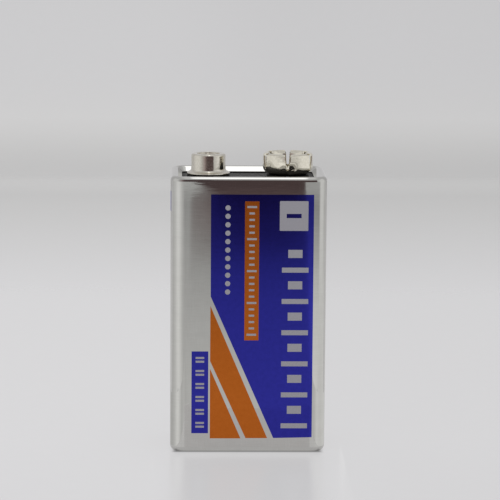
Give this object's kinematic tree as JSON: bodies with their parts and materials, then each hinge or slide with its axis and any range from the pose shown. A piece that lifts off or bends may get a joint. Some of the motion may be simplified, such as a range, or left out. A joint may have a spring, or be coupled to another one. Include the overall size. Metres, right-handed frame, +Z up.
{
  "type": "nine volt battery",
  "caption": "Upright rectangular nine volt battery: lapped printed steel jacket rolled over both ends, round snap stud and petalled snap socket on a dark board, layer cells inside.",
  "frame": {"origin": "centre of the base, on the surface that it stands on", "axes": "+Z up towards the terminals, +X from the stud side to the socket side, the broad printed face looks along -Y"},
  "size_m": [0.0252, 0.0164, 0.0483],
  "materials": {
    "printed_tinplate": "printed, brushed",
    "terminal_board": "matt",
    "bottom_board": "matt",
    "nickel_plate": "bright plated",
    "rivet_plate": "bright plated",
    "tinned_strip": "satin",
    "fibre_board": "matt",
    "grey_board": "matt",
    "kraft_paper": "matt",
    "shrink_film": "clear, dull",
    "cell_film": "satin",
    "zinc": "dull",
    "paste_paper": "damp, matt",
    "cathode_mix": "pressed powder"
  },
  "bodies": {
    "root": {"jacket": "printed_tinplate", "terminal_plate": "terminal_board", "bottom_plate": "bottom_board", "stud_cap": "nickel_plate", "stud_rivet": "rivet_plate", "socket_crown": "nickel_plate", "socket_rivet": "rivet_plate", "positive_strip": "tinned_strip", "negative_strip": "tinned_strip", "positive_end_plate": "tinned_strip", "top_spacer": "fibre_board", "bottom_pad": "grey_board", "paper_liner": "kraft_paper", "stack_wrap": "shrink_film", "cell_1_envelope": "cell_film", "cell_1_zinc_plate": "zinc", "cell_1_separator_tray": "paste_paper", "cell_1_cathode_cake": "cathode_mix", "cell_2_envelope": "cell_film", "cell_2_zinc_plate": "zinc", "cell_2_separator_tray": "paste_paper", "cell_2_cathode_cake": "cathode_mix", "cell_3_envelope": "cell_film", "cell_3_zinc_plate": "zinc", "cell_3_separator_tray": "paste_paper", "cell_3_cathode_cake": "cathode_mix", "cell_4_envelope": "cell_film", "cell_4_zinc_plate": "zinc", "cell_4_separator_tray": "paste_paper", "cell_4_cathode_cake": "cathode_mix", "cell_5_envelope": "cell_film", "cell_5_zinc_plate": "zinc", "cell_5_separator_tray": "paste_paper", "cell_5_cathode_cake": "cathode_mix", "cell_6_envelope": "cell_film", "cell_6_zinc_plate": "zinc", "cell_6_separator_tray": "paste_paper", "cell_6_cathode_cake": "cathode_mix"}
  },
  "joints": []
}
